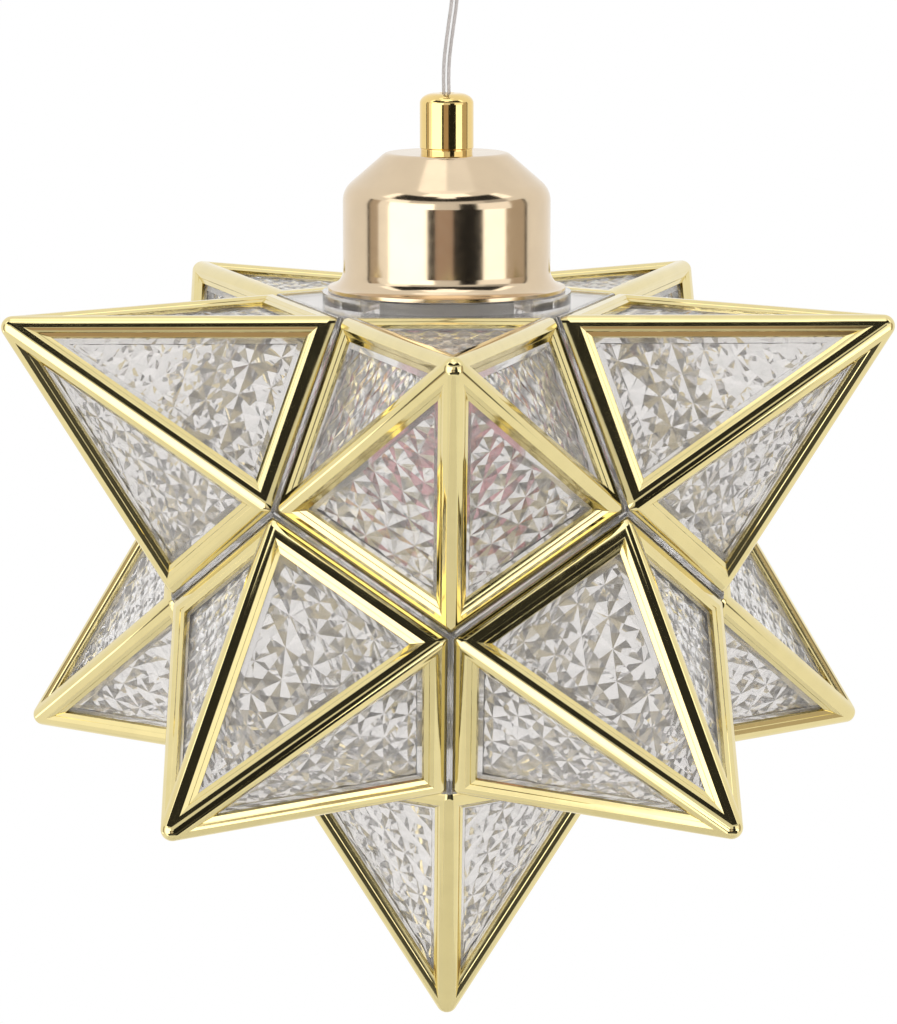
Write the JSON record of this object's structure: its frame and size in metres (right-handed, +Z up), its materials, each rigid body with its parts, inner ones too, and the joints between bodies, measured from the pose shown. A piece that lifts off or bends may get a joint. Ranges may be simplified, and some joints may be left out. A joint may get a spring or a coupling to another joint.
{
  "type": "star pendant light",
  "caption": "Hanging star light of hollow clear faceted points in pale gold edge frames, with a turned cup, a thin cord, a lampholder, a bulb and a ceiling canopy.",
  "frame": {"origin": "ceiling plane, midway between the bracket's two slots", "axes": "+Z up into the ceiling, +Y away from the viewer, +X to the viewer's right along the slots"},
  "size_m": [0.2505, 0.263, 0.355],
  "materials": {
    "steel": "zinc-plated steel",
    "champagne_metal": "polished champagne gold",
    "gold_metal": "polished brass",
    "white_plastic": "moulded white",
    "black_plastic": "moulded black",
    "contact_brass": "pressed brass",
    "bulb_cap_metal": "threaded nickel",
    "bulb_glass": "clear glass",
    "filament": "dusty red phosphor",
    "clear_cord": "clear with silvery strands",
    "gold_frame": "pale gold plating on moulded plastic",
    "crystal": "clear moulded, star-faceted"
  },
  "bodies": {
    "canopy": {"mounting_bracket": "steel", "canopy_cover": "champagne_metal", "canopy_screws": "steel", "outlet_bush": "gold_metal", "bush_locknut": "steel", "terminal_block": "white_plastic", "block_screws": "steel", "canopy_cord": "clear_cord", "canopy_wires": "clear_cord"},
    "cord": {"cord_free_run": "clear_cord"},
    "pendant": {"cord_grip": "gold_metal", "threaded_nipple": "steel", "socket_cup": "champagne_metal", "cup_washer": "steel", "cup_locknut": "steel", "neck_clips": "steel", "holder_cap": "white_plastic", "holder_skirt": "white_plastic", "contact_insert": "white_plastic", "screw_shell": "contact_brass", "centre_contact": "contact_brass", "side_contact": "contact_brass", "contact_screws": "steel", "inner_cord": "clear_cord", "holder_wires": "clear_cord"},
    "bulb_button": {"bulb_contact": "contact_brass"},
    "bulb": {"bulb_insulator": "black_plastic", "bulb_screw_cap": "bulb_cap_metal", "bulb_glass": "bulb_glass", "lamp_stem": "bulb_glass", "lamp_filaments": "filament"},
    "shade": {"top_plate": "crystal", "frame_upper_front": "gold_frame", "frame_upper_right": "gold_frame", "frame_upper_rear_right": "gold_frame", "frame_upper_rear_left": "gold_frame", "frame_upper_left": "gold_frame", "frame_lower_front_right": "gold_frame", "frame_lower_right": "gold_frame", "frame_lower_rear": "gold_frame", "frame_lower_left": "gold_frame", "frame_lower_front_left": "gold_frame", "frame_bottom": "gold_frame", "crystal_upper_front": "crystal", "crystal_upper_right": "crystal", "crystal_upper_rear_right": "crystal", "crystal_upper_rear_left": "crystal", "crystal_upper_left": "crystal", "crystal_lower_front_right": "crystal", "crystal_lower_right": "crystal", "crystal_lower_rear": "crystal", "crystal_lower_left": "crystal", "crystal_lower_front_left": "crystal", "crystal_bottom": "crystal"}
  },
  "joints": [
    {"name": "cord_swing", "type": "hinge", "parent": "canopy", "child": "cord", "pos_m": [0, 0, -0.028], "axis": [0, 1, 0], "range_deg": [-25, 25]},
    {"name": "pendant_tilt", "type": "hinge", "parent": "cord", "child": "pendant", "pos_m": [0, 0, -0.083], "axis": [1, 0, 0], "range_deg": [-12, 12]},
    {"name": "star_release", "type": "slide", "parent": "pendant", "child": "shade", "axis": [0, 0, -1], "range_m": [0, 0.12]},
    {"name": "bulb_travel", "type": "slide", "parent": "pendant", "child": "bulb_button", "axis": [0, 0, -1], "range_m": [0, 0.01453]},
    {"name": "bulb_turn", "type": "hinge", "parent": "bulb_button", "child": "bulb", "pos_m": [0, 0, -0.1847], "axis": [0, 0, -1], "range_deg": [0, 1440]}
  ],
  "couplings": [
    {"joint": "bulb_travel", "follows": "bulb_turn", "m_per_rad": 0.00057757}
  ]
}
